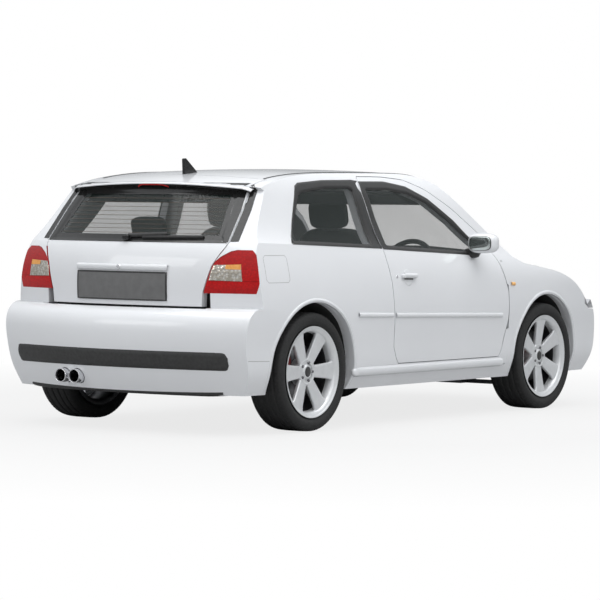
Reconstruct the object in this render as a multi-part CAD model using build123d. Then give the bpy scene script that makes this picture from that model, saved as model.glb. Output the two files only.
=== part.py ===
from build123d import *
from functools import lru_cache
import math
import os

# Three-door hatchback, full size, in millimetres. +X points forward, +Y to the car's left, +Z up.
# The origin is on the ground, midway between the bumpers.

# Driving dimensions
LENGTH = 4080.0
HALF_WIDTH = 872.0
WHEELBASE = 2475.0
REAR_OVERHANG = 755.0
TRACK = 1475.0
ROOF_Z = 1438.0
UNDERSIDE_Z = 215.0
SIDE_WALL = 60.0
SKIN = 45.0
SHUT_GAP = 5.0
GLASS = 5.0

# Wheels and brakes
TYRE_R = 325.0
TYRE_WIDTH = 225.0
RIM_R = 250.0
RIM_WIDTH = 205.0
SPOKES = 6
ARCH_R = 380.0
DISC_R = 156.0
DISC_THICK = 22.0
SPINDLE_R = 24.0
BEARING_GAP = 0.05
RUNNING_GAP = 6.0

REAR_X = -LENGTH / 2
FRONT_X = LENGTH / 2
REAR_AXLE_X = REAR_X + REAR_OVERHANG
FRONT_AXLE_X = REAR_AXLE_X + WHEELBASE
WHEEL_Y = TRACK / 2
AXLE_Z = TYRE_R
KINGPIN_LOW = (690.0, 190.0)
KINGPIN_SLOPE = 0.221
STRUT_R = 20.0

# Shut lines, seen from the side
DOOR_FRONT_X = 715.0
DOOR_REAR_X = -545.0
DOOR_SILL_Z = 345.0
BUMPER_TOP_Z = 676.0
COWL_X = 1075.0
BONNET_NOSE_X = 1925.0
ROOF_REAR_X = -1480.0

os.makedirs("parts", exist_ok=True)
nodes = {}


def belt_z(x):
    """Height of the lower edge of the side windows: it drops towards the nose."""
    return 972 - 0.0375 * x - 3.2e-6 * x * x


def plan_taper(x):
    """How far each side draws in towards the ends, seen from above."""
    return 62 * (max(0, abs(x + 100) - 700) / 1400) ** 2.2


# Body side in section: height and how far it stands in from the widest line
LOWER_SIDE = [(150, 95), (230, 62), (330, 22), (450, 12), (600, 0), (720, 6), (830, 22)]
SHOULDER = 70.0
TUMBLEHOME = [(190, 88), (400, 186), (450, 240), (560, 420)]
SIDE_STATIONS = [-2150, -1750, -1300, -700, 0, 600, 1200, 1700, 2150]


def side_wire(x, inset):
    """One cross-section between the two body sides, as wide as the body less inset on each side."""
    w = HALF_WIDTH - plan_taper(x) - inset
    zb = belt_z(x)
    low = [(w - dy, z) for z, dy in LOWER_SIDE] + [(w - SHOULDER, zb)]
    up = [(w - SHOULDER, zb)] + [(w - SHOULDER - dy, zb + dz) for dz, dy in TUMBLEHOME]

    def at(points, s):
        return [Vector(x, s * y, z) for y, z in points]

    bottom = Edge.make_line(at(low, -1)[0], at(low, 1)[0])
    top = Edge.make_line(at(up, -1)[-1], at(up, 1)[-1])
    left = [Edge.make_spline(at(low, 1)), Edge.make_spline(at(up, 1))]
    right = [Edge.make_spline(at(low, -1)), Edge.make_spline(at(up, -1))]
    return Wire([bottom, *left, top, *right])


@lru_cache(maxsize=None)
def between_sides(inset=0.0):
    return Solid.make_loft([side_wire(x, inset) for x in SIDE_STATIONS])


# The long profile, and how it sweeps back (share of y squared) and drops (crown) to each side
TAIL_SWEEP = 2.27e-4
NOSE_SWEEP = -2.8e-4
TOP_STATIONS = [-900, -450, 0, 450, 900]


def top_wire(y, inset):
    """One long profile of the body at distance y from the centre line, drawn in by inset."""
    q, i = y * y, inset

    def p(x, z, sweep=0.0, crown=0.0):
        return Vector(x + sweep * q, y, z - crown * q)

    tail, nose = TAIL_SWEEP, NOSE_SWEEP
    under_tail = p(-1950 + i, UNDERSIDE_Z + i, tail)
    bumper = [under_tail, p(REAR_X + i, 470, tail), p(-2015 + i, 640, tail), p(-1955 + i, BUMPER_TOP_Z, tail)]
    gate_foot = p(-1915 + i, BUMPER_TOP_Z + 2, tail)
    gate = [gate_foot, p(-1922 + i, 800, tail), p(-1905 + i, 940, tail), p(-1868 + i, 1022, tail, 1e-5)]
    lip_low = p(-1610 + i * 0.8, 1335 - i * 0.6, tail * 0.9, 7e-5)
    lip_top = p(-1630 + i, 1352 - i, tail * 0.9, 7e-5)
    screen_top = p(330 - i * 0.3, 1380 - i, nose * 0.5, 6e-5)
    roof = [lip_top, p(-1250, 1407 - i, 0, 6e-5), p(-700, 1434 - i, 0, 6e-5)]
    roof += [p(-150, ROOF_Z - i, 0, 6e-5), p(180, 1416 - i, nose * 0.2, 6e-5), screen_top]
    screen_foot = p(1010 - i * 0.5, 985 - i * 0.8, nose * 0.8, 8e-5)
    screen = [screen_top, p(700 - i * 0.4, 1175 - i * 0.8, nose * 0.7, 8e-5), screen_foot]
    cowl = p(COWL_X, 958 - i, nose * 0.6, 9e-5)
    bonnet_nose = p(BONNET_NOSE_X - i, 722 - i, nose, 1.3e-4)
    bonnet = [cowl, p(1400, 905 - i, nose * 0.3, 9e-5), p(1700, 826 - i, nose * 0.5, 1.1e-4), bonnet_nose]
    grille_top = p(1968 - i, 660, nose)
    under_nose = p(1960 - i, UNDERSIDE_Z + i, nose)
    front = [grille_top, p(FRONT_X - i, 480, nose), p(2030 - i, 350, nose), under_nose]
    return Wire(
        [
            Edge.make_spline(bumper),
            Edge.make_line(bumper[-1], gate_foot),
            Edge.make_spline(gate),
            Edge.make_line(gate[-1], lip_low),
            Edge.make_line(lip_low, lip_top),
            Edge.make_spline(roof),
            Edge.make_spline(screen),
            Edge.make_line(screen_foot, cowl),
            Edge.make_spline(bonnet),
            Edge.make_line(bonnet_nose, grille_top),
            Edge.make_spline(front),
            Edge.make_line(under_nose, under_tail),
        ]
    )


@lru_cache(maxsize=None)
def under_top(inset=0.0):
    return Solid.make_loft([top_wire(y, inset) for y in TOP_STATIONS])


def body_form(side_inset=0.0, top_inset=0.0):
    """The whole body's closed outer form, drawn in by the two insets."""
    return between_sides(side_inset) & under_top(top_inset)


def prism_xz(points, y0, y1):
    """A side-view outline carried across the car from y0 to y1."""
    face = Plane.XZ * make_face(Polyline(*points, close=True))
    return extrude(face.moved(Location((0, y0, 0))), amount=abs(y1 - y0), dir=(0, 1 if y1 > y0 else -1, 0))


def plug_xz(points, outer_y, depth, lean, draw, grow=0.0):
    """A side-view outline that leans in as it rises and narrows by draw over its depth into the car."""
    flat = make_face(Polyline(*points, close=True))

    def wire(amount, y):
        edge = offset(flat, amount, kind=Kind.INTERSECTION) if amount else flat
        corners = edge.faces()[0].outer_wire().vertices()
        order = [Vector(v.X, y - lean * (v.Y - 300), v.Y) for v in corners]
        return Wire.make_polygon(order, close=True)

    return Solid.make_loft([wire(grow, outer_y), wire(grow - draw, outer_y - depth)], ruled=True)


def prism_yz(points, x0, x1):
    """A rear-view outline, as (y, z) points, carried along the car from x0 to x1."""
    flat = make_face(Polyline(*[(x0, y, z) for y, z in points], close=True))
    return extrude(flat, amount=x1 - x0, dir=(1, 0, 0))


def prism_xy(points, z0, z1):
    """A plan-view outline carried from height z0 up to z1."""
    return extrude(make_face(Polyline(*[(x, y, z0) for x, y in points], close=True)), amount=z1 - z0, dir=(0, 0, 1))


def block(x0, x1, y0, y1, z0, z1):
    return Location(((x0 + x1) / 2, (y0 + y1) / 2, (z0 + z1) / 2)) * Box(x1 - x0, y1 - y0, z1 - z0)


def rounded(length, width, height, radius):
    """A block with all its edges rounded."""
    form = Box(length, width, height)
    return fillet(form.edges(), radius)


def across(radius, x, z, y0, y1):
    """A cylinder lying across the car."""
    return Location((x, (y0 + y1) / 2, z), (90, 0, 0)) * Cylinder(radius, abs(y1 - y0))


def flipped(shape):
    """The same piece on the other side of the car."""
    return shape.mirror(Plane.XZ)


def keep(name, shape):
    """Writes one node's solids to its own file, less any sliver that a cut has left."""
    solids = [s for s in shape.solids() if s.volume > 500]
    nodes[name] = solids
    export_step(Compound(children=solids) if len(solids) > 1 else solids[0], f"parts/{name}.step")


outer_form = body_form()
cavity_form = body_form(SIDE_WALL, SKIN)
shell = outer_form - cavity_form

# Wheel openings, right through the shell
FRONT_HOUSE_Y = 440.0
REAR_HOUSE_Y = 560.0
for s in (1, -1):
    shell = shell - across(ARCH_R, FRONT_AXLE_X, AXLE_Z, s * FRONT_HOUSE_Y, s * 1000)
    shell = shell - across(ARCH_R, REAR_AXLE_X, AXLE_Z, s * REAR_HOUSE_Y, s * 1000)


# Doors: the outline is the door's; the frame around it is larger by the shut gap
DOOR_OUTLINE = [
    (DOOR_REAR_X + 60, DOOR_SILL_Z - 29),
    (DOOR_FRONT_X - 55, DOOR_SILL_Z - 29),
    (DOOR_FRONT_X + 9, 560),
    (DOOR_FRONT_X + 9, 725),
    (DOOR_FRONT_X - 52, 912),
    (574, 1085),
    (344, 1230),
    (110, 1350),
    (-75, 1407),
    (-300, 1420),
    (-575, 1415),
    (-605, 1340),
    (DOOR_REAR_X - 14, 1000),
    (DOOR_REAR_X + 10, 800),
    (DOOR_REAR_X + 10, 420),
]
DOOR_DRAW = 132.0
DOOR_AXIS_X = 700.0
DOOR_AXIS_Y = 850.0
DOOR_EDGE_R = 27.0
DOOR_WINDOW = [(-500, 1005), (460, 962), (505, 985), (300, 1130), (80, 1250), (-100, 1305), (-300, 1325), (-530, 1322)]
QUARTER_WINDOW = [(-1400, 1035), (-650, 1010), (-670, 1320), (-700, 1330), (-950, 1326), (-1180, 1300), (-1215, 1285)]
REBATE = 14.0

door_zone = plug_xz(DOOR_OUTLINE, 990, 600, 0.25, DOOR_DRAW)
door_frame_zone = plug_xz(DOOR_OUTLINE, 990, 600, 0.25, DOOR_DRAW, SHUT_GAP)
hinge_column = Location((DOOR_AXIS_X, DOOR_AXIS_Y, 650)) * Cylinder(DOOR_EDGE_R, 900)
hinge_sweep = Location((DOOR_AXIS_X, DOOR_AXIS_Y, 650)) * Cylinder(DOOR_EDGE_R + SHUT_GAP, 720)
door_zone = door_zone - (block(DOOR_AXIS_X, DOOR_AXIS_X + 60, 780, 1000, 300, 1000) - hinge_column)

glass_outer = between_sides(8)
glass_inner = between_sides(8 + GLASS)
glass_layer = (glass_outer - glass_inner) & block(-2000, 1200, 0, 1000, 900, 1400)
rebate_layer = (between_sides(-5) - glass_inner) & block(-2000, 1200, 0, 1000, 900, 1400)


def window(outline):
    """The through opening, the rebate around it and the pane that lies in the rebate."""
    wide = offset(make_face(Polyline(*outline, close=True)), REBATE, kind=Kind.INTERSECTION).faces()[0]
    wide_points = [(v.X, v.Y) for v in wide.outer_wire().vertices()]
    centre = (sum(p[0] for p in outline) / len(outline), sum(p[1] for p in outline) / len(outline))
    wide_points.sort(key=lambda p: math.atan2(p[1] - centre[1], p[0] - centre[0]))
    opening = prism_xz(outline, 300, 1000)
    ring = prism_xz(wide_points, 300, 1000)
    return opening, rebate_layer & ring, glass_layer & ring


door_opening, door_rebate, door_glass = window(DOOR_WINDOW)
quarter_opening, quarter_rebate, quarter_glass = window(QUARTER_WINDOW)

door_left = (shell & door_zone) - door_opening - door_rebate
door_left = door_left - block(-2000, 2000, 300, 568, 1000, 1500)
keep("door_left", door_left)
keep("door_right", flipped(door_left))
keep("door_glass_left", door_glass)
keep("door_glass_right", flipped(door_glass))
keep("quarter_glass_left", quarter_glass)
keep("quarter_glass_right", flipped(quarter_glass))

# Tailgate, hinged at the rear edge of the roof
GATE_AXIS_X = -1420.0
GATE_AXIS_Z = 1360.0
GATE_EDGE_R = 33.0
GATE_SIDE_GAP = 7.0
PLATE_Z = 785.0
PLATE_HOLE_SPACING = 220.0
PLATE_HOLE_R = 3.0
GATE_OUTLINE = [(510, 680), (515, 756), (560, 900), (612, 1000), (622, 1030), (602, 1200), (572, 1450)]


def gate_prism(grow, low_z, x0, x1):
    half = [(y + grow, z) for y, z in GATE_OUTLINE]
    half[0] = (half[0][0], low_z)
    return prism_yz(half + [(-y, z) for y, z in reversed(half)], x0, x1)


def split_edge(radius, x0, x1):
    """Everything behind the tailgate's axis, with the round edge that turns under the roof."""
    behind = block(x0, GATE_AXIS_X, -700, 700, 100, 1500)
    return behind + across(radius, GATE_AXIS_X, GATE_AXIS_Z, -700, 700)


gate_cut = gate_prism(GATE_SIDE_GAP, BUMPER_TOP_Z, -2200, -1300) & split_edge(GATE_EDGE_R + SHUT_GAP, -2200, 0)
gate_zone = gate_prism(0, BUMPER_TOP_Z + 7, -2200, -1300) & split_edge(GATE_EDGE_R, -2200, 0)
gate_floor_cut = block(-1862, -1300, -700, 700, 600, 1300)
REAR_WINDOW = [(566, 1045), (512, 1292), (-512, 1292), (-566, 1045)]
REAR_PANE = [(582, 1030), (526, 1306), (-526, 1306), (-582, 1030)]
pane_inner = under_top(4 + GLASS)
rear_pane = (under_top(4) - pane_inner) & prism_yz(REAR_PANE, -2200, -1400)
rear_rebate = (under_top(-5) - pane_inner) & prism_yz(REAR_PANE, -2200, -1400)
tailgate = (shell & gate_zone) - prism_yz(REAR_WINDOW, -2200, -1500) - rear_rebate
for y in (-PLATE_HOLE_SPACING / 2, PLATE_HOLE_SPACING / 2):
    tailgate = tailgate - Location((-1900, y, PLATE_Z), (0, 90, 0)) * Cylinder(PLATE_HOLE_R, 200)
keep("tailgate", tailgate)
keep("tailgate_glass", rear_pane)

# Bonnet, hinged below the windscreen
BONNET_AXIS_X = 1000.0
BONNET_AXIS_Z = 935.0
BONNET_REAR_GAP = 8.0


def bonnet_edge(x, sweep, half, gap):
    ys = [half * k / 8 for k in range(-8, 9)]
    return [(x + gap - sweep * y * y, y) for y in ys]


def bonnet_prism(grow, rear_grow):
    rear = bonnet_edge(COWL_X + 8, 1.68e-4, 660 + grow, -rear_grow)
    nose = bonnet_edge(BONNET_NOSE_X - 8, 2.8e-4, 600 + grow, grow)
    return prism_xy(rear + [(1450, 675 + grow)] + nose[::-1] + [(1450, -675 - grow)], 640, 1010)


bonnet_zone = bonnet_prism(0, 0)
bonnet_cut = bonnet_prism(SHUT_GAP, BONNET_REAR_GAP)

# Headlamps
LAMP_OUTLINE = [(1700, 640), (1760, 606), (2100, 606), (2100, 800), (1775, 800), (1690, 716)]
LAMP_INNER_Y = 420.0
lamp_zone = prism_xz(LAMP_OUTLINE, LAMP_INNER_Y, 1000)
lamp_cut = prism_xz([(1694, 636), (1758, 600), (2110, 600), (2110, 805), (1773, 805), (1684, 718)], LAMP_INNER_Y - 5, 1000)
headlamp = (shell & lamp_zone) - bonnet_cut
bonnet = (shell & bonnet_zone)
keep("bonnet", bonnet)
keep("headlamps", headlamp + flipped(headlamp))

# Tail lamps
TAIL_LAMP_OUTLINE = [(-2200, 756), (-1772, 756), (-1752, 988), (-2200, 988)]
tail_lamp_zone = prism_xz(TAIL_LAMP_OUTLINE, 300, 1000)
tail_lamp = (shell & tail_lamp_zone) - gate_cut
keep("tail_lamps", tail_lamp + flipped(tail_lamp))

# Windscreen
SCREEN = [(375, -500), (375, 500), (940, 655), (965, 500), (988, 250), (993, 0), (988, -250), (965, -500), (940, -655)]
SCREEN_PANE = [(360, -514), (360, 514), (945, 672), (978, 505), (1001, 253), (1006, 0), (1001, -253), (978, -505), (945, -672)]
windscreen = (under_top(4) - pane_inner) & prism_xy(SCREEN_PANE, 940, 1400)
screen_rebate = (under_top(-5) - pane_inner) & prism_xy(SCREEN_PANE, 940, 1400)
keep("windscreen", windscreen)
body_shell = shell - gate_cut - bonnet_cut - lamp_cut - flipped(lamp_cut)
body_shell = body_shell - prism_xy(SCREEN, 900, 1400) - screen_rebate
for zone in (door_frame_zone, hinge_sweep, tail_lamp_zone, quarter_opening, quarter_rebate):
    body_shell = body_shell - zone - flipped(zone)

# Bumpers
REAR_BUMPER = [(-2200, 100), (-1480, 100), (-1480, 648), (-1700, BUMPER_TOP_Z - 3), (-2200, BUMPER_TOP_Z - 3)]
FRONT_BUMPER = [(2200, 100), (1480, 100), (1480, 632), (1700, 632), (1756, 598), (1900, 598), (1900, 730), (2200, 730)]
floor_slab = block(-1790, 1800, -690, 690, 100, 300) + block(-1860, -1790, -600, 600, 100, 300)
rear_bumper = (body_shell & prism_xz(REAR_BUMPER, -1000, 1000)) - floor_slab
front_bumper = (body_shell & prism_xz(FRONT_BUMPER, -1000, 1000)) - floor_slab
GRILLE = [(300, 640), (240, 380), (-240, 380), (-300, 640)]
grille_zone = prism_yz(GRILLE, 1900, 2200)
front_bumper = front_bumper - grille_zone
grille = (body_form(0, 22) - body_form(0, 34)) & grille_zone
INSERT = [(-690, 350), (690, 350), (660, 446), (-660, 446)]
insert_zone = prism_yz(INSERT, -2200, -1850)
insert_back = body_form(0, 30)
insert_face = body_form(0, 9)
bumper_insert = (insert_face - insert_back) & insert_zone
rear_bumper = rear_bumper - (insert_zone - insert_back)
keep("bumper_insert", bumper_insert)
for y in (334, 238):
    rear_bumper = rear_bumper - Location((-1890, y, 289), (0, 90, 0)) * Cylinder(42, 400)
keep("rear_bumper", rear_bumper)
keep("front_bumper", front_bumper)
keep("grille", grille)

# The remaining shell parts: roof, sides and front wings
ROOF_EDGE_Y = 560.0
rest = body_shell - prism_xz(REAR_BUMPER, -1000, 1000) - prism_xz(FRONT_BUMPER, -1000, 1000)
roof_zone = block(-1500, 420, -ROOF_EDGE_Y, ROOF_EDGE_Y, 1250, 1500)
keep("roof_panel", rest & roof_zone)
rest = rest - roof_zone
keep("cowl_panel", rest & block(700, 1200, -ROOF_EDGE_Y, ROOF_EDGE_Y, 860, 1010))
WING = [(DOOR_FRONT_X + 1, 200), (2000, 200), (2000, 900), (1090, 1000), (DOOR_FRONT_X - 60, 945), (DOOR_FRONT_X + 1, 760)]
wing_zone = prism_xz(WING, 560, 1000)
left_half = block(-2200, 2200, 30, 1000, 100, 1500)
fender = (rest & wing_zone) - floor_slab
keep("fender_left", fender)
keep("fender_right", flipped(fender))
side = (rest - wing_zone) & block(-2200, 2200, 560, 1000, 100, 1500)
side = side - floor_slab
keep("side_panel_left", side)
keep("side_panel_right", flipped(side))

def on_kingpin(shape, z):
    """Sets a piece on the left steering axis at height z."""
    y = KINGPIN_LOW[0] - (z - KINGPIN_LOW[1]) * KINGPIN_SLOPE
    return Location((FRONT_AXLE_X, y, z), (math.degrees(math.atan(KINGPIN_SLOPE)), 0, 0)) * shape


# Floor, firewall, wheelhouses, boot floor and the rails that carry the engine
FLOOR_Z = 228.0
plate = block(-1130, 1010, -690, 690, FLOOR_Z, FLOOR_Z + 30)
upper = block(980, 1010, -735, 735, FLOOR_Z + 30, 880)
upper += block(-1160, -1130, -735, 735, FLOOR_Z + 33, 430)
upper += block(-1160, -1130, -690, 690, FLOOR_Z, FLOOR_Z + 34)
upper += block(-1865, -1130, -545, 545, 400, 430)
upper += block(-1130, 1010, -110, 110, FLOOR_Z + 30, 370)
upper += block(-1865, -1835, -545, 545, 400, 655)
for s in (1, -1):
    y0, y1 = sorted((s * 400, s * 430))
    upper += block(1010, 1870, y0, y1, 330, 430)
    y0, y1 = sorted((s * 520, s * 545))
    upper += block(-1700, -930, y0, y1, 430, 760)
upper += block(1850, 1890, -560, 560, 330, 600)
tub = Location((-1600, 0, 325)) * Cylinder(240, 150) - Location((-1600, 0, 345)) * Cylinder(228, 170)
LINER = 12.0
liners = Part()
for x, y in ((FRONT_AXLE_X, FRONT_HOUSE_Y), (REAR_AXLE_X, REAR_HOUSE_Y)):
    liner = across(ARCH_R + LINER, x, AXLE_Z, y, 900) - across(ARCH_R, x, AXLE_Z, y - 50, 950)
    liner += across(ARCH_R + LINER, x, AXLE_Z, y - LINER, y)
    liners += liner & block(x - 500, x + 500, 300, 1000, AXLE_Z, 1000)
tower = on_kingpin(Cylinder(82, 130), 755) - on_kingpin(Cylinder(68, 140), 738)
tower_hole = on_kingpin(Cylinder(68, 140), 738)
liners = (liners - tower_hole) + (tower - across(ARCH_R, FRONT_AXLE_X, AXLE_Z, 300, 950))
upper = upper - across(ARCH_R, FRONT_AXLE_X, AXLE_Z, 440, 900) - across(ARCH_R, FRONT_AXLE_X, AXLE_Z, -900, -440)
upper = upper - across(ARCH_R, REAR_AXLE_X, AXLE_Z, 546, 900) - across(ARCH_R, REAR_AXLE_X, AXLE_Z, -900, -546)
plate = plate - across(ARCH_R, FRONT_AXLE_X, AXLE_Z, 440, 900) - across(ARCH_R, FRONT_AXLE_X, AXLE_Z, -900, -440)
plate = plate - across(ARCH_R, REAR_AXLE_X, AXLE_Z, 546, 900) - across(ARCH_R, REAR_AXLE_X, AXLE_Z, -900, -546)
high = (upper & block(-2000, 2000, -1000, 1000, FLOOR_Z + 33, 1000)) + liners + flipped(liners)
high = high - block(REAR_AXLE_X - 46, REAR_AXLE_X + 46, -700, 700, AXLE_Z - 36, AXLE_Z + 36)
low = plate + (upper & block(-2000, 2000, -690, 690, 200, FLOOR_Z + 33)) + (tub & block(-2000, 0, -500, 500, 200, 401))
keep("floor_pan", low + (high & cavity_form))
keep("engine_block", block(1180, 1700, -330, 330, 330, 735))

# Seats, dashboard
for s, name in ((1, "left"), (-1, "right")):
    y = s * 365
    cushion = Location((-65, y, 420), (0, -4, 0)) * rounded(540, 500, 160, 55)
    back = Location((-335, y, 790), (0, -18, 0)) * rounded(135, 490, 640, 50)
    head = Location((-465, y, 1180), (0, -12, 0)) * rounded(85, 250, 165, 32)
    stalks = [Location((-448, y + d, 1085), (0, -18, 0)) * Cylinder(7, 90) for d in (-60, 60)]
    head = head + stalks[0] + stalks[1]
    base = block(-300, 150, y - 210, y + 210, FLOOR_Z + 30, 375)
    keep(f"seat_{name}", cushion + back + head + base)
bench = Location((-875, 0, 415), (0, -3, 0)) * rounded(470, 1000, 165, 50)
bench += Location((-1130, 0, 770), (0, -20, 0)) * rounded(125, 1000, 580, 45)
bench += block(-1090, -700, 112, 450, FLOOR_Z + 30, 360) + block(-1090, -700, -450, -112, FLOOR_Z + 30, 360)
bench = bench - block(-1200, 0, -112, 112, 200, 371)
keep("rear_bench", bench)
dash = Location((675, 0, 775)) * rounded(230, 1380, 250, 60) + block(780, 975, -690, 690, 740, 880) + block(450, 975, -130, 130, 400, 700)

# Steering wheel on its column
WHEEL_X, COLUMN_Y, WHEEL_Z = 360.0, -365.0, 860.0
COLUMN_TILT = 25.0
tilt = Location((WHEEL_X, COLUMN_Y, WHEEL_Z), (0, -(90 - COLUMN_TILT), 0))
steering = tilt * Torus(178, 15)
steering += tilt * Cylinder(58, 34)
steering += tilt * Box(20, 340, 14)
steering += tilt * (Pos(-85, 0, 0) * Box(170, 24, 14))
steering += tilt * (Pos(0, 0, -75) * Cylinder(18, 150))
keep("steering_wheel", steering)
dash += tilt * (Pos(0, 0, -210) * Cylinder(48, 240))
dash = dash - tilt * (Pos(0, 0, -100) * Cylinder(18 + BEARING_GAP, 130))
dash = dash & cavity_form
keep("dashboard", dash)

# Wheels
def wheel_at(shape, x, y):
    """Stands a piece that was turned about the vertical axis upright at a wheel position."""
    return Location((x, y, AXLE_Z), (-90 if y > 0 else 90, 0, 0)) * shape


def turned(points):
    return revolve(Plane.XZ * make_face(Polyline(*points, close=True)), Axis.Z)


half_tyre, half_rim = TYRE_WIDTH / 2, RIM_WIDTH / 2
TYRE_PROFILE = [
    (RIM_R - 22, -half_rim + 12), (RIM_R + 2, -half_rim + 10), (RIM_R + 6, -half_rim + 2), (285, -half_tyre),
    (TYRE_R - 18, -half_tyre + 6), (TYRE_R - 4, -half_tyre + 20), (TYRE_R, -half_tyre + 38),
    (TYRE_R, half_tyre - 38), (TYRE_R - 4, half_tyre - 20), (TYRE_R - 18, half_tyre - 6), (285, half_tyre),
    (RIM_R + 6, half_rim - 2), (RIM_R + 2, half_rim - 10), (RIM_R - 22, half_rim - 12),
    (RIM_R - 22, half_rim - 26), (RIM_R + 20, half_rim - 10), (TYRE_R - 16, half_tyre - 30),
    (TYRE_R - 16, -half_tyre + 30), (RIM_R + 20, -half_rim + 10), (RIM_R - 22, -half_rim + 26),
]
tyre = turned(TYRE_PROFILE)
RIM_PROFILE = [
    (RIM_R, -half_rim), (RIM_R, -half_rim + 9), (RIM_R - 23, -half_rim + 12), (RIM_R - 23, half_rim - 12),
    (RIM_R, half_rim - 9), (RIM_R, half_rim), (RIM_R - 10, half_rim), (RIM_R - 32, half_rim - 12),
    (RIM_R - 32, -half_rim + 12), (RIM_R - 10, -half_rim),
]
HUB_FACE = 62.0
rim = turned(RIM_PROFILE)
plate = Pos(0, 0, HUB_FACE) * Cylinder(RIM_R - 30, 26)
for k in range(SPOKES):
    a = math.radians(k * 60 + 30)
    slot = make_hull([
        Pos(205 * math.cos(a - 0.30), 205 * math.sin(a - 0.30)) * CenterArc((0, 0), 12, 0, 360),
        Pos(205 * math.cos(a + 0.30), 205 * math.sin(a + 0.30)) * CenterArc((0, 0), 12, 0, 360),
        Pos(105 * math.cos(a), 105 * math.sin(a)) * CenterArc((0, 0), 16, 0, 360),
    ])
    plate = plate - Pos(0, 0, HUB_FACE - 30) * extrude(slot, amount=60)
rim = rim + plate + Pos(0, 0, 27) * Cylinder(75, 60)
rim = rim + Pos(0, 0, -14) * Cylinder(DISC_R, DISC_THICK)
rim = rim - Pos(0, 0, 0) * Cylinder(SPINDLE_R + BEARING_GAP, 80)
corners = [("front_left", FRONT_AXLE_X, WHEEL_Y), ("front_right", FRONT_AXLE_X, -WHEEL_Y)]
corners += [("rear_left", REAR_AXLE_X, WHEEL_Y), ("rear_right", REAR_AXLE_X, -WHEEL_Y)]
for name, x, y in corners:
    keep(f"tyre_{name}", wheel_at(tyre, x, y))
    keep(f"rim_{name}", wheel_at(rim, x, y))

# Knuckles that steer the front wheels, and the axle behind
spindle = Pos(0, 0, 4) * Cylinder(SPINDLE_R, 70)
carrier = Pos(0, 0, -66) * Cylinder(58, 44) + Pos(0, 0, -43) * Cylinder(30, 34)
caliper_arm = Pos(0, -150, -58) * Box(60, 60, 28) + Pos(0, -95, -66) * Box(50, 100, 24)


front = wheel_at(spindle + carrier, FRONT_AXLE_X, WHEEL_Y)
front += on_kingpin(Cylinder(18, 46), 213) + on_kingpin(Box(50, 34, 236), 326) + on_kingpin(Cylinder(31, 56), 456)
front = front - on_kingpin(Cylinder(10 + BEARING_GAP, 80), 205) - on_kingpin(Cylinder(STRUT_R + BEARING_GAP, 80), 460)
front = front - on_kingpin(Box(120, 120, 20), 200 - 17)
strut = on_kingpin(Cylinder(STRUT_R, 350), 605) + on_kingpin(Cylinder(62, 14), 690) + on_kingpin(Cylinder(62, 20), 780)
arm = on_kingpin(Cylinder(10, 92), 185) + block(FRONT_AXLE_X - 28, FRONT_AXLE_X + 28, 290, 716, 138, 160)
arm += block(FRONT_AXLE_X - 90, FRONT_AXLE_X + 90, 0, 300, 138, 226)
keep("front_suspension", strut + flipped(strut) + (arm + flipped(arm)))
keep("knuckle_left", front)
keep("knuckle_right", flipped(front))
axle = block(REAR_AXLE_X - 40, REAR_AXLE_X + 40, -WHEEL_Y + 80, WHEEL_Y - 80, AXLE_Z - 30, AXLE_Z + 30)
axle += wheel_at(spindle + carrier, REAR_AXLE_X, WHEEL_Y) + wheel_at(spindle + carrier, REAR_AXLE_X, -WHEEL_Y)
keep("rear_axle", axle)

# Mirrors on the doors
mirror = Location((385, 890, 1018), (0, 0, -8)) * rounded(115, 185, 120, 34) + block(352, 418, 770, 850, 925, 985)
mirror = mirror - outer_form
keep("mirror_left", mirror)
keep("mirror_right", flipped(mirror))

# Exhaust, antenna
pipes = [Location((-1890, y, 289), (0, 90, 0)) * (Cylinder(37, 240) - Cylinder(33, 260)) for y in (334, 238)]
exhaust = block(-1780, -1560, 258, 470, 232, 342) + block(-1800, -1765, 210, 470, 240, 338)
keep("exhaust", exhaust + pipes[0] + pipes[1])
fin_side = make_face(Polyline((-1236, 0, 1390), (-1250, 0, 1412), (-1350, 0, 1484), (-1364, 0, 1480), (-1358, 0, 1390), close=True))
antenna = extrude(fin_side, amount=9, dir=(0, 1, 0), both=True) - outer_form
keep("antenna", antenna)

for name, solids in nodes.items():
    c = Compound(children=list(solids))
    b = c.bounding_box()
    print(f"{name:20s} {len(solids)} {sum(s.volume for s in solids)/1e6:8.2f}  {b.min.X:7.0f} {b.max.X:7.0f} {b.min.Y:6.0f} {b.max.Y:6.0f} {b.min.Z:6.0f} {b.max.Z:6.0f}")
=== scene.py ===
import math

import bpy
import numpy as np
from mathutils import Matrix, Vector
from mathutils.bvhtree import BVHTree


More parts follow.
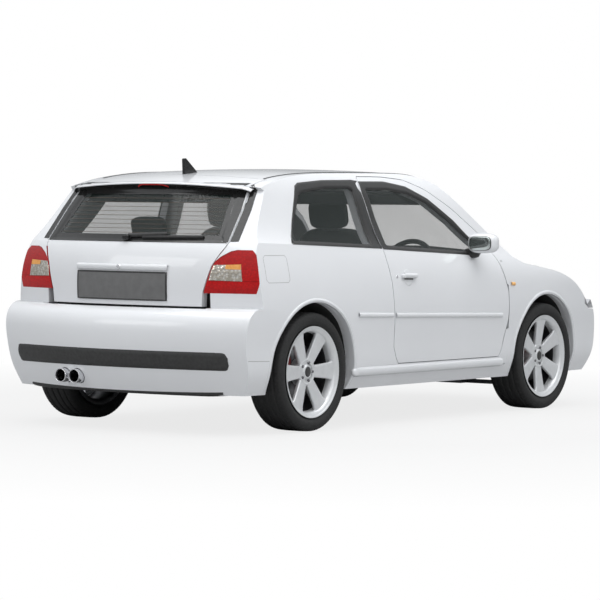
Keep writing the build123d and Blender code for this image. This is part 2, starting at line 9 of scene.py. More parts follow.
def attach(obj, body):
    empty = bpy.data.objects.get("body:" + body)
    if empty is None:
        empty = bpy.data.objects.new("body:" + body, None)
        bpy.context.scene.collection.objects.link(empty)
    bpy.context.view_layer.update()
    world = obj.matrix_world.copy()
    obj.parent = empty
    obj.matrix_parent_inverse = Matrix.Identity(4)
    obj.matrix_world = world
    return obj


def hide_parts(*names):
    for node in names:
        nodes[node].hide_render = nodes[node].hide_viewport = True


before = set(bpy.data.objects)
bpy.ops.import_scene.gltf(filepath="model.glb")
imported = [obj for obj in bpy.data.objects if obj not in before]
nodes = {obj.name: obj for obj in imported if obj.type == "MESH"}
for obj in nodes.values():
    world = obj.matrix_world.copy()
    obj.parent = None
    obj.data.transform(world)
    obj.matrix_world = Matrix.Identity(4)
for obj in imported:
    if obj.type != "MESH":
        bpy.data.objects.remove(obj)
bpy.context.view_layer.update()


class Look:
    """One material: a principled shader, with its varying inputs wired from procedural patterns."""

    def __init__(self, name, **values):
        self.mat = bpy.data.materials.new(name)
        self.mat.use_nodes = True
        self.tree = self.mat.node_tree
        self.shader = self.tree.nodes["Principled BSDF"]
        for key, value in values.items():
            socket = self.shader.inputs[key.replace("_", " ")]
            socket.default_value = (*value, 1.0) if isinstance(value, tuple) and len(value) == 3 else value
        self.coords = self.tree.nodes.new("ShaderNodeTexCoord").outputs["Object"]

    def node(self, kind, **settings):
        made = self.tree.nodes.new(kind)
        for key, value in settings.items():
            setattr(made, key, value)
        return made

    def link(self, a, b):
        self.tree.links.new(a, b)

    def noise(self, scale, detail=3.0, coords=None):
        made = self.node("ShaderNodeTexNoise")
        made.inputs["Scale"].default_value = scale
        made.inputs["Detail"].default_value = detail
        self.link(coords or self.coords, made.inputs["Vector"])
        return made.outputs["Fac"]

    def ramp(self, fac, *stops):
        """A colour ramp; each stop is (place, colour or grey)."""
        made = self.node("ShaderNodeValToRGB")
        elements = made.color_ramp.elements
        while len(elements) < len(stops):
            elements.new(0.5)
        for element, (place, colour) in zip(elements, stops):
            element.position = place
            element.color = (*colour, 1.0) if isinstance(colour, tuple) else (colour, colour, colour, 1.0)
        self.link(fac, made.inputs["Fac"])
        return made.outputs["Color"]

    def axis(self, name, low, high):
        """0 to 1 as the object coordinate along one axis goes from low to high."""
        split = self.node("ShaderNodeSeparateXYZ")
        self.link(self.coords, split.inputs[0])
        place = self.node("ShaderNodeMapRange")
        place.inputs["From Min"].default_value = low
        place.inputs["From Max"].default_value = high
        self.link(split.outputs[name], place.inputs["Value"])
        return place.outputs["Result"]

    def to(self, socket, value):
        self.link(value, self.shader.inputs[socket])
        return self

    def bump(self, height, strength, distance):
        made = self.node("ShaderNodeBump")
        made.inputs["Strength"].default_value = strength
        made.inputs["Distance"].default_value = distance
        self.link(height, made.inputs["Height"])
        self.link(made.outputs["Normal"], self.shader.inputs["Normal"])
        return self


def paint_look():
    """White two-layer paint: a faintly uneven base under a clear coat with slight orange peel."""
    look = Look("paint", Roughness=0.42, Coat_Weight=1.0, Coat_Roughness=0.03, Specular_IOR_Level=0.5)
    look.to("Base Color", look.ramp(look.noise(1.3), (0.3, (0.74, 0.75, 0.77)), (0.7, (0.77, 0.78, 0.80))))
    return look.bump(look.noise(700.0, 1.0), 0.012, 0.001).mat


def dull_look(name, low, high, rough, scale=60.0, bump=0.15):
    """A plain moulded or painted surface: two near shades in a noise, with a fine grain."""
    look = Look(name, Roughness=rough)
    look.to("Base Color", look.ramp(look.noise(scale), (0.3, low), (0.7, high)))
    return look.bump(look.noise(scale * 20), bump, 0.0008).mat


def glass_look(name, tint, alpha):
    """Tinted safety glass, darker where the noise thickens its tint."""
    look = Look(name, Roughness=0.015, Specular_IOR_Level=0.6, Coat_Weight=0.3)
    look.to("Base Color", look.ramp(look.noise(2.0), (0.3, tint), (0.7, tuple(c * 1.2 for c in tint))))
    look.to("Alpha", look.ramp(look.noise(1.5), (0.3, alpha), (0.7, alpha + 0.04)))
    return look.mat


def metal_look(name, low, high, rough, bump=0.05):
    look = Look(name, Metallic=1.0)
    look.to("Base Color", look.ramp(look.noise(25.0), (0.3, low), (0.7, high)))
    look.to("Roughness", look.ramp(look.noise(9.0), (0.3, rough * 0.85), (0.7, rough * 1.15)))
    return look.bump(look.noise(900.0, 1.0), bump, 0.0004).mat


paint = paint_look()
black_gloss = dull_look("black_gloss", 0.012, 0.02, 0.12, 40.0, 0.02)
frame_black = dull_look("frame_black", 0.016, 0.024, 0.38, 60.0, 0.05)
black_plastic = dull_look("black_plastic", 0.022, 0.035, 0.55)
underseal = dull_look("underseal", 0.03, 0.05, 0.8, 20.0, 0.4)
side_glass = glass_look("side_glass", (0.020, 0.030, 0.027), 0.22)
rear_glass = glass_look("rear_glass", (0.020, 0.030, 0.027), 0.25)
screen_glass = glass_look("screen_glass", (0.020, 0.032, 0.028), 0.15)
silver = metal_look("silver", (0.70, 0.71, 0.72), (0.76, 0.77, 0.78), 0.42, 0.01)
silver.node_tree.nodes["Principled BSDF"].inputs["Metallic"].default_value = 0.55
cast = metal_look("cast", (0.16, 0.16, 0.17), (0.24, 0.24, 0.25), 0.55, 0.3)
chrome = metal_look("chrome", (0.80, 0.80, 0.82), (0.86, 0.86, 0.88), 0.06, 0.01)
seam_look = dull_look("seam", 0.30, 0.36, 0.8)
cloth = dull_look("cloth", 0.018, 0.034, 0.9, 300.0, 0.5)

given = {
    "roof_panel": paint, "side_panel_left": paint, "side_panel_right": paint, "fender_left": paint,
    "fender_right": paint, "bonnet": paint, "door_left": paint, "door_right": paint, "tailgate": paint,
    "front_bumper": paint, "rear_bumper": paint, "mirror_left": paint, "mirror_right": paint,
    "door_glass_left": side_glass, "door_glass_right": side_glass, "quarter_glass_left": side_glass,
    "quarter_glass_right": side_glass, "tailgate_glass": rear_glass, "windscreen": screen_glass,
    "cowl_panel": black_plastic, "grille": black_gloss, "bumper_insert": black_plastic,
        "antenna": black_gloss, "exhaust": cast,
    "floor_pan": underseal, "engine_block": cast, "front_suspension": cast, "rear_axle": cast,
    "knuckle_left": cast, "knuckle_right": cast, "dashboard": black_plastic,
        "steering_wheel": black_plastic,
    "seat_left": cloth, "seat_right": cloth, "rear_bench": cloth, "headlamps": chrome,
        "tail_lamps": black_gloss,
}
for name, mat in given.items():
    if name in nodes:
        nodes[name].data.materials.clear()
        nodes[name].data.materials.append(mat)


def mesh_piece(name, verts, faces, mat, body, smooth=True):
    """Makes one object from points and faces, and sets it on its body."""
    mesh = bpy.data.meshes.new(name)
    mesh.from_pydata([tuple(map(float, v)) for v in verts], [], [tuple(map(int, f)) for f in faces])
    mesh.materials.append(mat)
    mesh.polygons.foreach_set("use_smooth", [smooth] * len(mesh.polygons))
    mesh.update()
    made = bpy.data.objects.new(name, mesh)
    bpy.context.collection.objects.link(made)
    if body:
        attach(made, body)
    return made


def grid_faces(rows, cols, close_cols=False, start=0):
    """The quads of a grid of rows by cols points; close_cols joins its last column to its first."""
    faces = []
    for r in range(rows - 1):
        for c in range(cols if close_cols else cols - 1):
            a, b = r * cols + c, r * cols + (c + 1) % cols
            faces.append((start + a, start + b, start + b + cols, start + a + cols))
    return faces


# The floor and the light: a pale floor under a large soft ceiling light, as in a studio.
floor_look = Look("studio_floor", Roughness=0.7)
floor_look.to("Base Color", floor_look.ramp(floor_look.noise(0.3), (0.3, 0.40), (0.7, 0.44)))
light_path = floor_look.node("ShaderNodeLightPath")
glow = floor_look.node("ShaderNodeEmission")
mixed = floor_look.node("ShaderNodeMixShader")
reach = floor_look.node("ShaderNodeVectorMath", operation="LENGTH")
floor_look.link(floor_look.coords, reach.inputs[0])
fade = floor_look.node("ShaderNodeMapRange")
fade.inputs["From Min"].default_value = 2.4
fade.inputs["From Max"].default_value = 5.5
fade.inputs["To Min"].default_value = 0.80
floor_look.link(reach.outputs["Value"], fade.inputs["Value"])
share = floor_look.node("ShaderNodeMath", operation="MULTIPLY")
floor_look.link(fade.outputs["Result"], share.inputs[1])
floor_look.link(light_path.outputs["Is Camera Ray"], share.inputs[0])
floor_look.link(share.outputs[0], mixed.inputs[0])
floor_look.link(floor_look.shader.outputs[0], mixed.inputs[1])
floor_look.link(glow.outputs[0], mixed.inputs[2])
floor_look.link(mixed.outputs[0], floor_look.tree.nodes["Material Output"].inputs["Surface"])
floor = mesh_piece("floor", [(-60, -60, 0), (60, -60, 0), (60, 60, 0), (-60, 60, 0)], [(0, 1, 2, 3)],
        floor_look.mat, None, False)

world = bpy.data.worlds.new("studio")
world.use_nodes = True
bpy.context.scene.world = world
tree = world.node_tree
sky = tree.nodes["Background"]
place = tree.nodes.new("ShaderNodeTexCoord")
split = tree.nodes.new("ShaderNodeSeparateXYZ")
tree.links.new(place.outputs["Generated"], split.inputs[0])
height = tree.nodes.new("ShaderNodeMapRange")
height.inputs["From Min"].default_value = -1.0
tree.links.new(split.outputs["Z"], height.inputs["Value"])
shade = tree.nodes.new("ShaderNodeValToRGB")
elements = shade.color_ramp.elements
for _ in range(3):
    elements.new(0.5)
for element, (at, grey) in zip(elements, ((0.0, 0.20), (0.49, 0.26), (0.54, 0.42), (0.66, 0.62),
        (1.0, 1.05))):
    element.position = at
    element.color = (grey * 0.95, grey * 0.975, grey, 1.0)
tree.links.new(height.outputs["Result"], shade.inputs["Fac"])
tree.links.new(shade.outputs["Color"], sky.inputs["Color"])
sky.inputs["Strength"].default_value = 1.0
seen = tree.nodes.new("ShaderNodeBackground")
seen.inputs["Color"].default_value = (1, 1, 1, 1)
path = tree.nodes.new("ShaderNodeLightPath")
chosen = tree.nodes.new("ShaderNodeMixShader")
tree.links.new(path.outputs["Is Camera Ray"], chosen.inputs[0])
tree.links.new(sky.outputs[0], chosen.inputs[1])
tree.links.new(seen.outputs[0], chosen.inputs[2])
tree.links.new(chosen.outputs[0], tree.nodes["World Output"].inputs["Surface"])
for name, place, size, power in (
    ("ceiling", (-1.0, -1.5, 6.0), (9.0, 7.0), 330.0),
    ("side", (-6.0, -8.0, 4.4), (6.0, 2.0), 70.0),
    ("back", (-9.0, 4.0, 4.2), (5.0, 2.0), 60.0),
):
    light = bpy.data.lights.new(name, "AREA")
    light.shape = "RECTANGLE"
    light.size, light.size_y = size
    light.energy = power
    lamp = bpy.data.objects.new(name, light)
    lamp.location = place
    lamp.rotation_euler = (Vector((0, 0, 0.6)) - Vector(place)).to_track_quat("-Z", "Y").to_euler()
    bpy.context.collection.objects.link(lamp)

# The camera stands behind the car's right rear corner, far off with a long lens.
turn, dip, roll = math.radians(35.09), math.radians(-1.86), math.radians(0.64)
flat = Vector((math.cos(turn), math.sin(turn), 0))
right = Vector((math.sin(turn), -math.cos(turn), 0))
ahead = flat * math.cos(dip) + Vector((0, 0, 1)) * math.sin(dip)
above = right.cross(ahead)
right, above = right * math.cos(roll) + above * math.sin(roll), above * math.cos(roll) - right * math.sin(roll)
camera = bpy.data.objects.new("camera", bpy.data.cameras.new("camera"))
camera.data.lens = 36.0 * 2920.0 / 600.0
camera.data.clip_end = 200.0
camera.matrix_world = Matrix((
    (right.x, above.x, -ahead.x, -14.28275),
    (right.y, above.y, -ahead.y, -9.88),
    (right.z, above.z, -ahead.z, 1.23),
    (0, 0, 0, 1),
))
bpy.context.collection.objects.link(camera)
bpy.context.scene.camera = camera
bpy.context.scene.view_settings.view_transform = "Standard"


# Tyres: black rubber with four grooves round the tread and fine cuts across it, seated on the rims.
tyre_rubber = dull_look("tyre_rubber", 0.012, 0.02, 0.75, 90.0, 0.25)


def wheel_placed(points, corner):
    """Turns points from a wheel's own axes (x out of the car, y and z round it) to a corner of the car."""
    x, side = corner
    out = np.empty_like(points)
    out[:, 0] = x + points[:, 1]
    out[:, 1] = side * (0.7375 + points[:, 0])
    out[:, 2] = 0.325 + points[:, 2]
    return out


def tread(across, angle):
    """Tread depth: four grooves round the tyre and a slanted cut every five degrees on the shoulders."""
    depth = np.zeros_like(across)
    for place in (-0.062, -0.021, 0.021, 0.062):
        depth += 0.006 * np.exp(-(((across - place) / 0.0048) ** 4))
    phase = (angle * 72 / (2 * math.pi) + np.abs(across) * 16) % 1.0
    shoulder = (np.abs(across) > 0.066) & (np.abs(across) < 0.104)
    depth += np.where(shoulder & (phase < 0.22), 0.0035, 0.0)
    return depth


def tyre_points(rounds):
    """A tyre's skin: its cross-section from one bead over the tread to the other, turned about the axle."""
    side = [(0.090, 0.229), (0.093, 0.252), (0.101, 0.262), (0.109, 0.272), (0.1125, 0.287), (0.110, 0.301),
            (0.104, 0.313), (0.096, 0.3205)]
    crown = [(a, 0.3245 - 0.0035 * (a / 0.096) ** 4) for a in np.linspace(0.090, -0.090, 61)]
    section = np.array(side + crown + [(-a, r) for a, r in reversed(side)])
    angles = np.linspace(0, 2 * math.pi, rounds, endpoint=False)
    a = np.repeat(section[:, 0][:, None], rounds, 1)
    r = np.repeat(section[:, 1][:, None], rounds, 1)
    t = np.repeat(angles[None, :], len(section), 0)
    r = r - np.where(r > 0.3185, tread(a, t), 0)
    return np.stack([a, r * np.cos(t), r * np.sin(t)], -1).reshape(-1, 3), len(section)


corners = {"front_left": (1.19, 1), "front_right": (1.19, -1), "rear_left": (-1.285, 1),
        "rear_right": (-1.285, -1)}
for name, corner in corners.items():
    rounds = 288
    points, rows = tyre_points(rounds)
    faces = grid_faces(rows, rounds, True)
    if corner[1] < 0:
        faces = [f[::-1] for f in faces]
    piece = mesh_piece("tread_" + name, wheel_placed(points, corner), faces, tyre_rubber, "wheel_" + name)
    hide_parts("tyre_" + name)


# Wheels: silver cast rims with six wide flat spokes, a dark cap and five bolts, on the hubs.
def turned_points(profile, rounds):
    """A profile of (out, radius) pairs turned about the wheel's axis."""
    profile = np.asarray(profile)
    t = np.linspace(0, 2 * math.pi, rounds, endpoint=False)
    a = np.repeat(profile[:, 0][:, None], rounds, 1)
    r = profile[:, 1][:, None]
    return np.stack([a, r * np.cos(t)[None, :], r * np.sin(t)[None, :]], -1).reshape(-1, 3)


def spoke_points(angle):
    """One spoke: a rounded slab that widens from the hub to the rim and bows in a little at mid-length."""
    pts = []
    for r in np.linspace(0.048, 0.226, 15):
        u = (r - 0.048) / 0.178
        half = 0.031 + 0.017 * u + 0.012 * max(0, u - 0.8) / 0.2
        thick = 0.030 - 0.008 * u
        face = 0.073 + 0.012 * u**2 - 0.010 * (1 - u) ** 2
        for k in range(24):
            p = 2 * math.pi * k / 24
            c, s = math.cos(p), math.sin(p)
            w = half * math.copysign(abs(c) ** 0.35, c)
            h = thick * 0.5 * math.copysign(abs(s) ** 0.35, s)
            pts.append((face - thick * 0.5 + h, r, w))
    pts = np.array(pts)
    ca, sa = math.cos(angle), math.sin(angle)
    y = pts[:, 1] * ca - pts[:, 2] * sa
    z = pts[:, 1] * sa + pts[:, 2] * ca
    return np.stack([pts[:, 0], y, z], -1)


hub_dark = dull_look("hub_dark", 0.03, 0.045, 0.4)
disc_steel = metal_look("disc_steel", (0.16, 0.16, 0.165), (0.22, 0.22, 0.225), 0.4, 0.3)
barrel_dark = metal_look("barrel_dark", (0.12, 0.12, 0.125), (0.16, 0.16, 0.165), 0.5, 0.1)
TURN_STEPS = 96
DISC_STEPS = 72
LIP_POINTS = 7
barrel = [(0.1025, 0.250), (0.1025, 0.2455), (0.099, 0.243), (0.096, 0.238), (0.093, 0.228), (0.080, 0.219),
        (0.040, 0.216), (-0.09, 0.216), (-0.0975, 0.226), (-0.1025, 0.243), (-0.1025, 0.250),
        (-0.098, 0.250), (-0.094, 0.229), (0.090, 0.229), (0.097, 0.250), (0.1025, 0.250)]
for name, corner in corners.items():
    flip = corner[1] < 0
    well, lip = barrel[LIP_POINTS - 1:], barrel[:LIP_POINTS]
    parts = [("barrel", turned_points(well, TURN_STEPS), grid_faces(len(well), TURN_STEPS, True),
            barrel_dark)]
    parts.append(("rim_lip", turned_points(lip, TURN_STEPS), grid_faces(LIP_POINTS, TURN_STEPS, True),
            silver))
    verts, faces = [], []
    for k in range(6):
        pts = spoke_points(k * math.pi / 3 + (math.pi / 6 if name.startswith("front") else 0.0))
        faces += grid_faces(15, 24, True, len(verts) and sum(len(v) for v in verts))
        verts.append(pts)
    parts.append(("spokes", np.vstack(verts), faces, silver))
    bowl = [(0.062, 0.029), (0.069, 0.028), (0.072, 0.024), (0.074, 0.014), (0.0745, 0.0)]
    parts.append(("cap", turned_points(bowl, 48), grid_faces(len(bowl), 48, True), hub_dark))
    ring = [(0.0, 0.075), (0.060, 0.075), (0.067, 0.070), (0.066, 0.063), (0.060, 0.058), (0.059, 0.044),
            (0.066, 0.037), (0.070, 0.032), (0.070, 0.029), (0.060, 0.028)]
    parts.append(("hub", turned_points(ring, 64), grid_faces(len(ring), 64, True), silver))
    disc = [(-0.003, 0.070), (-0.003, 0.156), (-0.025, 0.156), (-0.025, 0.070)]
    parts.append(("disc", turned_points(disc, DISC_STEPS), grid_faces(len(disc), DISC_STEPS, True),
            disc_steel))
    for label, pts, fcs, mat in parts:
        piece = mesh_piece(f"{label}_{name}", wheel_placed(pts, corner),
                [f[::-1] for f in fcs] if flip else fcs, mat, "wheel_" + name)
        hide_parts("rim_" + name)

# Trim that follows the body: each strip or patch below is dropped on to the CAD surface it sits on.
def surface_of(*names):
    """The surfaces of some CAD nodes, as one tree that rays can be cast at."""
    verts, faces = [], []
    for name in names:
        mesh = nodes[name].data
        start = len(verts)
        verts += [v.co[:] for v in mesh.vertices]
        faces += [tuple(start + i for i in p.vertices) for p in mesh.polygons]
    return BVHTree.FromPolygons(verts, faces)


def dropped(tree, u, v, axis, side, lift):
    """Casts a ray in from outside and lifts the hit.

    Axis 'y': u is x and v is z. Axis 'x': u is y and v is z. Axis 'z': u is x and v is y.
    """
    start = {"y": (u, side * 3.0, v), "x": (side * 4.0, u, v), "z": (u, v, side * 3.0)}[axis]
    way = {"y": (0, -side, 0), "x": (-side, 0, 0), "z": (0, 0, -side)}[axis]
    hit, normal, _, _ = tree.ray_cast(Vector(start), Vector(way))
    if hit is None:
        return None
    if normal.dot(Vector(way)) > 0:
        normal = -normal
    return hit + normal * lift


def strip(name, tree, path, profile, axis, side, mat, body, closed=False, steps=0.02):
    """Sweeps (across, height) pairs along a path on a surface. Points that miss it reuse the last hit."""
    path = [np.array(p, float) for p in path]
    if closed:
        path.append(path[0])
    dense = []
    for a, b in zip(path, path[1:]):
        n = max(1, int(np.linalg.norm(b - a) / steps))
        dense += [a + (b - a) * k / n for k in range(n)]
    dense = dense if closed else dense + [path[-1]]
    count = len(dense)
    rows = []
    last = {}
    for k, p in enumerate(dense):
        before = dense[(k - 1) % count] if closed or k else p
        after = dense[(k + 1) % count] if closed or k < count - 1 else p
        d = after - before
        d = d / (np.linalg.norm(d) + 1e-9)
        n = np.array((-d[1], d[0]))
        row = []
        for j, (across, height) in enumerate(profile):
            q = p + n * across
            hit = dropped(tree, q[0], q[1], axis, side, height)
            if hit is None:
                hit = last.get(j)
            last[j] = hit
            row.append(hit)
        rows.append(row)
    rows = [r for r in rows if all(h is not None for h in r)]
    if closed:
        rows.append(rows[0])
    verts = [tuple(h) for r in rows for h in r]
    made = mesh_piece(name, verts, grid_faces(len(rows), len(profile)), mat, body)
    return outward(made, axis, side)


def outward(made, axis, side):
    """Turns a piece's faces so that most of them look out of the car."""
    mesh = made.data
    index = {"x": 0, "y": 1, "z": 2}[axis]
    total = sum(p.normal[index] * p.area for p in mesh.polygons) * side
    if total < 0:
        mesh.flip_normals()
    return made


def patch(name, tree, low, high, lift, axis, side, mat, body, cols=24, rows=8):
    """Fills the space between two curves, low and high, with a sheet on the surface."""
    verts = []
    for r in range(rows):
        t = r / (rows - 1)
        for c in range(cols):
            u = c / (cols - 1)
            a = np.array((np.interp(u, np.linspace(0, 1, len(low)), [p[0] for p in low]),
                    np.interp(u, np.linspace(0, 1, len(low)), [p[1] for p in low])))
            b = np.array((np.interp(u, np.linspace(0, 1, len(high)), [p[0] for p in high]),
                    np.interp(u, np.linspace(0, 1, len(high)), [p[1] for p in high])))
            q = a + (b - a) * t
            verts.append(dropped(tree, q[0], q[1], axis, side, lift))
    known = [v for v in verts if v is not None]
    verts = [v if v is not None else known[0] for v in verts]
    return outward(mesh_piece(name, [tuple(v) for v in verts], grid_faces(rows, cols), mat, body), axis,
            side)


def blob(name, centre, half, mat, body, power=3.0, rot=(0, 0, 0), rows=24, cols=40):
    """A rounded box: a superellipsoid with the given half sizes, turned about x, y, then z in degrees."""
    v = np.linspace(-math.pi / 2, math.pi / 2, rows)
    u = np.linspace(-math.pi, math.pi, cols, endpoint=False)
    e = 2.0 / power
    sgn = lambda w: np.sign(w) * np.abs(w) ** e
    x = sgn(np.cos(v))[:, None] * sgn(np.cos(u))[None, :]
    y = sgn(np.cos(v))[:, None] * sgn(np.sin(u))[None, :]
    z = np.repeat(sgn(np.sin(v))[:, None], cols, 1)
    pts = np.stack([x * half[0], y * half[1], z * half[2]], -1).reshape(-1, 3)
    turn = Matrix.Rotation(math.radians(rot[2]), 3, "Z") @ Matrix.Rotation(math.radians(rot[1]), 3,
            "Y") @ Matrix.Rotation(math.radians(rot[0]), 3, "X")
    pts = pts @ np.array(turn).T + np.array(centre)
    return mesh_piece(name, pts, grid_faces(rows, cols, True), mat, body)


# Side window frames: satin black surrounds on the doors and the rear sides, from the body's skin
# in over the panes' edges.
door_window = [(-0.500, 1.005), (0.460, 0.962), (0.505, 0.985), (0.300, 1.130), (0.080, 1.250),
        (-0.100, 1.305), (-0.300, 1.325), (-0.530, 1.322), (-0.5275, 1.290), (-0.519, 1.200)]
door_border = [(-0.5535, 0.987), (0.470, 0.944), (0.545, 0.972), (0.322, 1.150), (0.100, 1.277),
        (-0.088, 1.345), (-0.300, 1.371), (-0.5690, 1.368), (-0.5820, 1.300), (-0.5715, 1.200)]
quarter_window = [(-1.400, 1.035), (-0.650, 1.010), (-0.6623, 1.200), (-0.668, 1.290), (-0.670, 1.320),
        (-0.700, 1.330), (-0.950, 1.326), (-1.180, 1.300), (-1.215, 1.285)]
quarter_border = [(-1.421, 1.018), (-0.5600, 0.990), (-0.5785, 1.200), (-0.5885, 1.300), (-0.5790, 1.371),
        (-0.640, 1.376), (-0.950, 1.370), (-1.190, 1.353), (-1.226, 1.336)]


def window_frame(name, skin, pane, window, border, side, body, rebate=0.0155, lap=0.012):
    """A band from the border in to the pane's rebate, then over the pane's edge and down to it."""
    centre = np.mean(window, axis=0)
    sides = list(range(len(window))) + [0]
    rows = []
    for a, b in zip(sides, sides[1:]):
        count = max(2, int(math.dist(window[a], window[b]) / 0.012))
        edge = np.array(window[b]) - np.array(window[a])
        inward = np.array((-edge[1], edge[0])) / np.linalg.norm(edge)
        if np.dot(inward, centre - np.array(window[a])) < 0:
            inward = -inward
        for t in np.arange(count) / count:
            edge_point = np.array(window[a]) + edge * t
            outer = np.array(border[a]) + (np.array(border[b]) - np.array(border[a])) * t
            near = edge_point - inward * rebate
            hits = [dropped(skin, *(outer + (near - outer) * u), "y", side, h) for u,
                    h in ((0.0, 0.0), (0.02, 0.002), (0.35, 0.002), (0.7, 0.002), (1.0, 0.002))]
            glass = dropped(pane, *(edge_point + inward * 0.004), "y", side, 0.0004)
            beyond = dropped(skin, *(near - inward * 0.010), "y", side, 0.002)
            if None in hits or glass is None or beyond is None:
                continue
            lip = hits[-1] + (hits[-1] - beyond) * (lap / 0.010)
            rows.append(hits + [lip, glass])
    rows.append(rows[0])
    verts = [tuple(p) for row in rows for p in row]
    return outward(mesh_piece(name, verts, grid_faces(len(rows), 7), frame_black, body), "y", side)


for side, hand in ((1, "left"), (-1, "right")):
    door_skin = surface_of("door_" + hand, "door_glass_" + hand)
    body_skin = surface_of("side_panel_" + hand, "quarter_glass_" + hand)
    window_frame("door_frame_" + hand, surface_of("door_" + hand), surface_of("door_glass_" + hand),
            door_window, door_border, side, "door_" + hand)
    window_frame("quarter_frame_" + hand, surface_of("side_panel_" + hand),
            surface_of("quarter_glass_" + hand), quarter_window, quarter_border, side, "body")

    # Rubbing strips: body-coloured mouldings along the doors and rear wings, held by clips.
    bar = [(-0.0125, -0.001), (-0.0115, 0.006), (-0.005, 0.010), (0.005, 0.010), (0.0115, 0.006),
            (0.0125, -0.001)]
    strip("door_moulding_" + hand, door_skin, [(-0.520, 0.617), (0.634, 0.590)], bar, "y", side, paint,
            "door_" + hand)
    strip("wing_moulding_" + hand, body_skin, [(-0.895, 0.627), (-0.547, 0.618)], bar, "y", side, paint,
            "body")

    # Sill ledges: a rounded painted step along each sill between the wheels, clipped on below the door.
    ledge = [(0.004, -0.001), (0.001, 0.011), (-0.008, 0.018), (-0.030, 0.020), (-0.042, 0.013),
            (-0.048, -0.001)]
    strip("sill_ledge_" + hand, surface_of("side_panel_" + hand), [(-0.880, 0.330), (0.655, 0.330)], ledge,
            "y", side, paint, "body")
    for label, x in (("rear", -0.880), ("front", 0.655)):
        foot = dropped(surface_of("side_panel_" + hand), x, 0.309, "y", side, 0.002)
        blob(f"sill_end_{label}_{hand}", tuple(foot), (0.035, 0.0175, 0.0235), paint, "body", 2.4)

    # Wheel-arch lips: painted flanges rolled round each opening in the wings and bumpers.
    arch_skin = surface_of("side_panel_" + hand, "fender_" + hand, "front_bumper", "rear_bumper",
            "door_" + hand)
    for label, x in (("front", 1.19), ("rear", -1.285)):
        arc = [(x + 0.392 * math.cos(a), 0.325 + 0.392 * math.sin(a)) for a in np.linspace(-0.22,
                math.pi + 0.22, 48)]
        strip(f"arch_{label}_{hand}", arch_skin, arc,
                [(-0.010, 0.0), (-0.009, 0.002), (0.0, 0.004), (0.009, 0.003), (0.0115, -0.030)], "y", side,
                paint, "body")

# Wing closings: the front wings' and sills' edges by the doors, carried on to the shut line.
for side, hand in ((1, "left"), (-1, "right")):
    wing_skin = surface_of("fender_" + hand, "side_panel_" + hand)
    verts, rows = [], []
    shut = [
        (0.300, 0.6450), (0.355, 0.6450), (0.380, 0.6560), (0.400, 0.6620), (0.430, 0.6720),
            (0.460, 0.6820), (0.485, 0.6900), (0.504, 0.6960),
        (0.507, 0.7240), (0.520, 0.7235), (0.540, 0.7220), (0.560, 0.7205), (0.600, 0.7200),
            (0.640, 0.7215), (0.700, 0.7235), (0.740, 0.7250), (0.768, 0.7265),
        (0.771, 0.7115), (0.790, 0.7050), (0.820, 0.6960), (0.850, 0.6860), (0.880, 0.6750),
            (0.905, 0.6655),
    ]
    for z, near in shut:
        for u in np.linspace(0.0, 1.0, 8):
            x = near + (0.7365 - near) * u
            ahead = dropped(wing_skin, 0.7375, z, "y", side, 0.0005)
            further = dropped(wing_skin, 0.7575, z, "y", side, 0.0005)
            verts.append(tuple(ahead + (further - ahead) * ((x - 0.7375) / 0.020)))
    outward(mesh_piece("wing_closing_" + hand, verts, grid_faces(len(shut), 8), paint, "body"), "y", side)

# Tail lamps: red lenses with a clear band, set into the rear corners.
lens = Look("tail_lens", Roughness=0.14, Coat_Weight=0.35, Coat_Roughness=0.04, Specular_IOR_Level=0.25)
height = lens.axis("Z", 0.756, 0.988)
bands = lens.ramp(height, (0.0, (0.46, 0.004, 0.005)), (0.27, (0.60, 0.006, 0.007)),
        (0.285, (0.30, 0.002, 0.003)), (0.30, (0.56, 0.006, 0.007)), (1.0, (0.44, 0.004, 0.005)))
facets = lens.node("ShaderNodeTexVoronoi", feature="F1")
facets.inputs["Scale"].default_value = 85.0
lens.link(lens.coords, facets.inputs["Vector"])
mixer = lens.node("ShaderNodeMix", data_type="RGBA", blend_type="MULTIPLY")
mixer.inputs["Factor"].default_value = 0.5
lens.link(bands, mixer.inputs[6])
lens.link(lens.ramp(facets.outputs["Distance"], (0.0, 1.0), (0.7, 0.45)), mixer.inputs[7])
lens.link(mixer.outputs[2], lens.shader.inputs["Base Color"])
lens.bump(facets.outputs["Distance"], 0.25, 0.002)
nodes["tail_lamps"].data.materials.clear()
nodes["tail_lamps"].data.materials.append(lens.mat)

